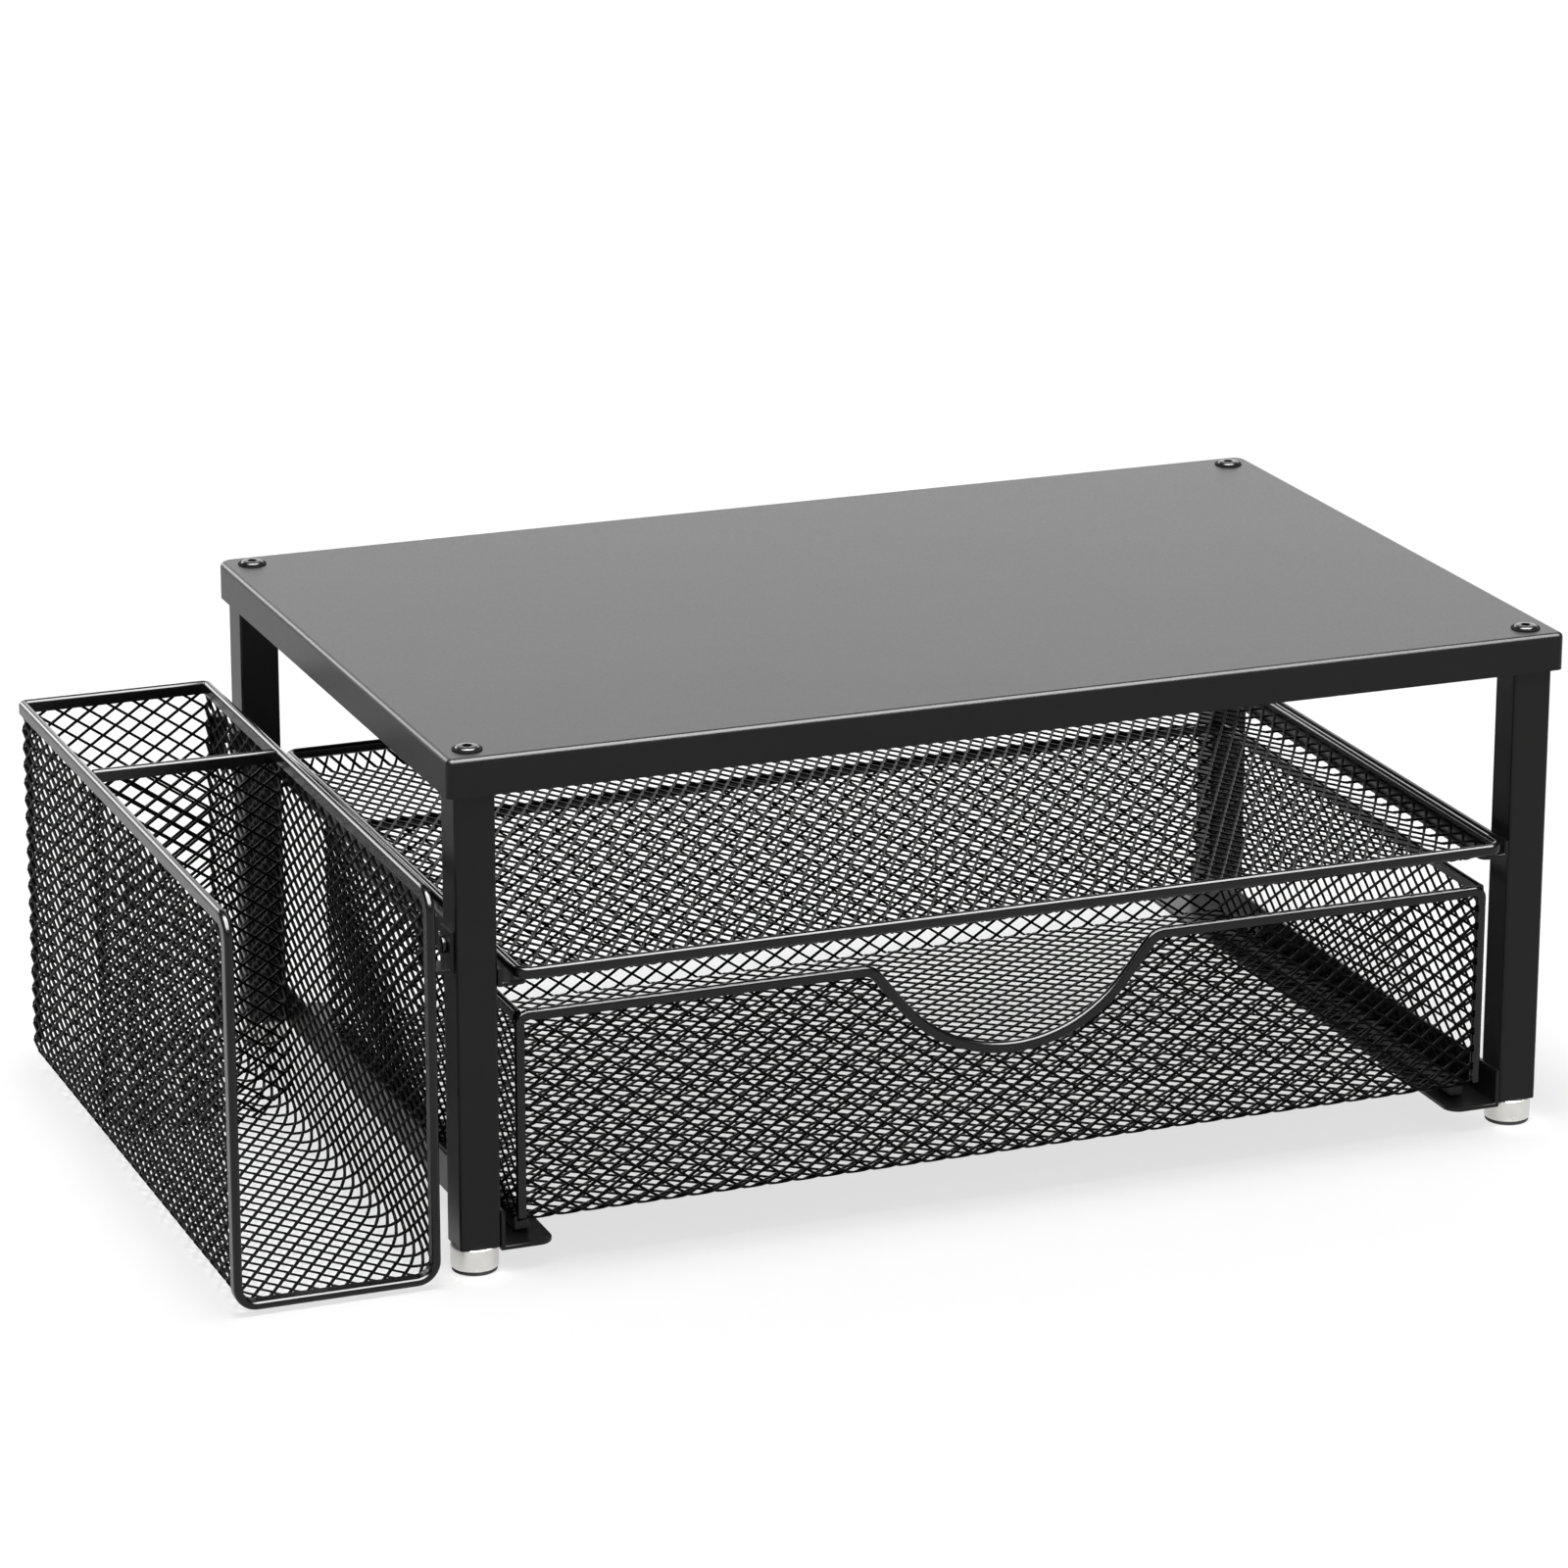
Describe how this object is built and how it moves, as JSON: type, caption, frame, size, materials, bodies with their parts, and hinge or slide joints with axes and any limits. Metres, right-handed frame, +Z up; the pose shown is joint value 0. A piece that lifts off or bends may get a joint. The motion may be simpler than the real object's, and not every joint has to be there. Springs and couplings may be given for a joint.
{
  "type": "monitor riser stand",
  "caption": "Steel monitor riser: a flat platform on square tube legs over a slide-out mesh tray and mesh drawer, with an open mesh organizer hooked on at one side.",
  "frame": {"origin": "on the desk under the middle of the whole object's box", "axes": "+X to the right along the platform's width, away from the organizer; +Y from the open front to the back; +Z up"},
  "size_m": [0.4754, 0.2584, 0.1798],
  "materials": {
    "frame_coat": "fine satin powder coat, charcoal black",
    "rim_coat": "semi-gloss powder coat, black",
    "mesh_coat": "semi-gloss powder coat on expanded mesh, black",
    "zinc_steel": "bright zinc plating",
    "satin_silver": "satin silver",
    "black_plastic": "matte black moulding",
    "pad_rubber": "matte black rubber"
  },
  "bodies": {
    "riser": {"top_panel": "frame_coat", "leg_front_left": "frame_coat", "leg_front_right": "frame_coat", "leg_rear_left": "frame_coat", "leg_rear_right": "frame_coat", "leg_inserts": "zinc_steel", "panel_screws": "zinc_steel", "foot_plugs": "black_plastic", "foot_studs": "zinc_steel", "foot_collars": "satin_silver", "foot_pads": "pad_rubber", "upper_rail_left": "frame_coat", "upper_rail_right": "frame_coat", "lower_rail_left": "frame_coat", "lower_rail_right": "frame_coat", "hanger_bracket_front": "frame_coat", "hanger_bracket_rear": "frame_coat", "hanger_screws": "zinc_steel"},
    "tray": {"tray_mesh": "mesh_coat", "tray_rim_front": "rim_coat", "tray_rim_back": "rim_coat", "tray_rim_left": "rim_coat", "tray_rim_right": "rim_coat"},
    "drawer": {"drawer_front_mesh": "mesh_coat", "drawer_floor_mesh": "mesh_coat", "drawer_back_mesh": "mesh_coat", "drawer_left_mesh": "mesh_coat", "drawer_right_mesh": "mesh_coat", "drawer_front_rim": "rim_coat", "drawer_back_rim": "rim_coat", "drawer_left_rim": "rim_coat", "drawer_right_rim": "rim_coat", "drawer_left_runner": "black_plastic", "drawer_right_runner": "black_plastic"},
    "organizer": {"organizer_left_mesh": "mesh_coat", "organizer_right_mesh": "mesh_coat", "organizer_floor_mesh": "mesh_coat", "organizer_back_mesh": "mesh_coat", "organizer_divider_mesh": "mesh_coat", "organizer_left_trim": "rim_coat", "organizer_right_trim": "rim_coat", "organizer_bottom_trim": "rim_coat", "organizer_back_trim": "rim_coat", "organizer_divider_trim": "rim_coat", "organizer_hooks": "frame_coat"}
  },
  "joints": [
    {"name": "tray_slide", "type": "slide", "parent": "riser", "child": "tray", "axis": [0, -1, 0], "range_m": [0, 0.2]},
    {"name": "drawer_slide", "type": "slide", "parent": "riser", "child": "drawer", "axis": [0, -1, 0], "range_m": [0, 0.19]},
    {"name": "organizer_lift", "type": "slide", "parent": "riser", "child": "organizer", "axis": [0, 0, 1], "range_m": [0, 0.15]}
  ]
}
